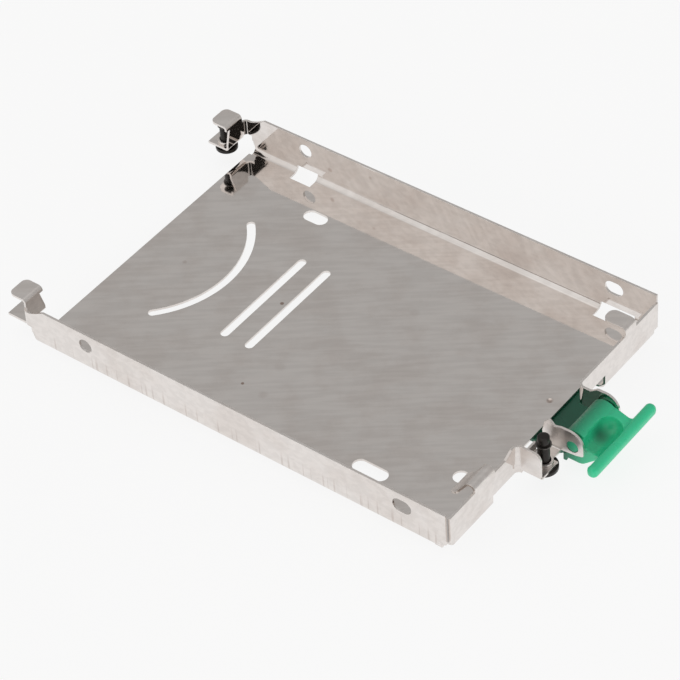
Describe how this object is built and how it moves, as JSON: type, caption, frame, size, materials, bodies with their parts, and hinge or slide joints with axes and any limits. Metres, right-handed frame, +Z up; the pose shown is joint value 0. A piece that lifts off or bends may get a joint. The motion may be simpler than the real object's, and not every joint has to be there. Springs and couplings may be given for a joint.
{
  "type": "hard drive caddy",
  "caption": "Folded polished steel tray for a small hard drive, with a green pivoting latch lever and captive screws.",
  "frame": {"origin": "middle of the drive seat, on the floor's top face", "axes": "+X towards the latch end, +Y towards the side wall with the windows in its bend, +Z up out of the tray"},
  "size_m": [0.123, 0.071, 0.0122],
  "materials": {
    "polished_steel": "polished",
    "green_plastic": "satin",
    "black_screw": "satin",
    "ring_steel": "satin"
  },
  "bodies": {
    "tray": {"tray": "polished_steel"},
    "lever": {"latch_lever": "green_plastic"},
    "front_ring": {"front_screw_ring": "ring_steel"},
    "front_screw": {"front_captive_screw": "black_screw"},
    "rear_ring": {"rear_screw_ring": "ring_steel"},
    "rear_screw": {"rear_captive_screw": "black_screw"}
  },
  "joints": [
    {"name": "latch_pivot", "type": "hinge", "parent": "tray", "child": "lever", "pos_m": [0.0575, 0.0013, 0.00565], "axis": [0, -1, 0], "range_deg": [0, 60]},
    {"name": "front_screw_slide", "type": "slide", "parent": "tray", "child": "front_ring", "axis": [0, 0, -1], "range_m": [0, 0.0039]},
    {"name": "front_screw_turn", "type": "hinge", "parent": "front_ring", "child": "front_screw", "pos_m": [0.0541, -0.0094, 0.0065], "axis": [0, 0, 1], "continuous": true},
    {"name": "rear_screw_slide", "type": "slide", "parent": "tray", "child": "rear_ring", "axis": [0, 0, -1], "range_m": [-0.0004, 0.0035]},
    {"name": "rear_screw_turn", "type": "hinge", "parent": "rear_ring", "child": "rear_screw", "pos_m": [-0.0545, 0.0312, 0.0055], "axis": [0, 0, 1], "continuous": true}
  ]
}
